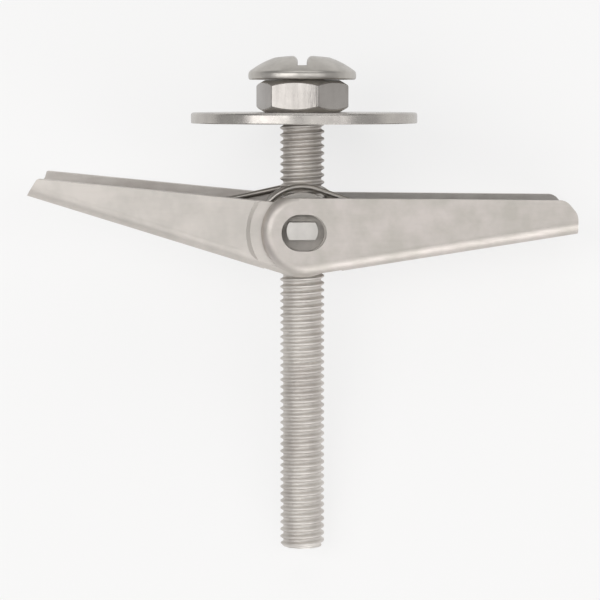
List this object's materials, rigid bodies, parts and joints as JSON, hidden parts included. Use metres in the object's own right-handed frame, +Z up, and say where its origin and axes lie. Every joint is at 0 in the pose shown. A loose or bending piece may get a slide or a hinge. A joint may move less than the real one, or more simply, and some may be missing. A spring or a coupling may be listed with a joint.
{
  "type": "spring toggle bolt",
  "caption": "Spring toggle bolt: slotted mushroom-head screw with hex nut and large washer, and a toggle of nested folding steel wings on a barrel nut, held open by a torsion spring.",
  "frame": {"origin": "centre of the washer's bearing face, on the screw's axis", "axes": "the fastener lies as it comes to rest on a level surface: +X along the open wings towards the right wing's tip, +Y along the screw towards its head (the head end is raised 12 degrees), +Z up"},
  "size_m": [0.0608, 0.0544, 0.0246],
  "materials": {
    "bolt_steel": "bright zinc-plated steel, rolled thread",
    "nut_steel": "bright zinc-plated steel",
    "washer_steel": "zinc-plated steel, stamped",
    "barrel_steel": "zinc-plated steel, turned",
    "wing_steel": "zinc-plated sheet steel, satin",
    "spring_steel": "drawn spring wire, dull plating"
  },
  "bodies": {
    "bolt": {"bolt": "bolt_steel"},
    "hex_nut": {"hex_nut": "nut_steel"},
    "flat_washer": {"flat_washer": "washer_steel"},
    "toggle_nut": {"toggle_nut": "barrel_steel", "torsion_spring": "spring_steel"},
    "wing_right": {"wing_right": "wing_steel"},
    "wing_left": {"wing_left": "wing_steel"}
  },
  "joints": [
    {"name": "washer_travel", "type": "slide", "parent": "bolt", "child": "flat_washer", "axis": [0, -0.9782, -0.2075], "range_m": [0, 0.003]},
    {"name": "nut_spin", "type": "hinge", "parent": "flat_washer", "child": "hex_nut", "pos_m": [0, 0.00291, 0.00062], "axis": [0, -0.9782, -0.2075], "range_deg": [0, 1350]},
    {"name": "toggle_travel", "type": "slide", "parent": "bolt", "child": "toggle_nut", "axis": [0, -0.9782, -0.2075], "range_m": [0, 0.03]},
    {"name": "wing_right_fold", "type": "hinge", "parent": "toggle_nut", "child": "wing_right", "pos_m": [0, -0.01135, -0.00241], "axis": [0.139, -0.2055, 0.9687], "range_deg": [0, 83], "deforming": ["torsion_spring"]},
    {"name": "wing_left_fold", "type": "hinge", "parent": "toggle_nut", "child": "wing_left", "pos_m": [0, -0.01135, -0.00241], "axis": [-0.139, 0.2055, -0.9687], "range_deg": [0, 75], "deforming": ["torsion_spring"]}
  ],
  "couplings": [
    {"joint": "nut_spin", "follows": "washer_travel", "rad_per_m": 7854},
    {"joint": "wing_right_fold", "follows": "toggle_travel", "rad_per_m": 48.287},
    {"joint": "wing_left_fold", "follows": "toggle_travel", "rad_per_m": 43.633}
  ]
}
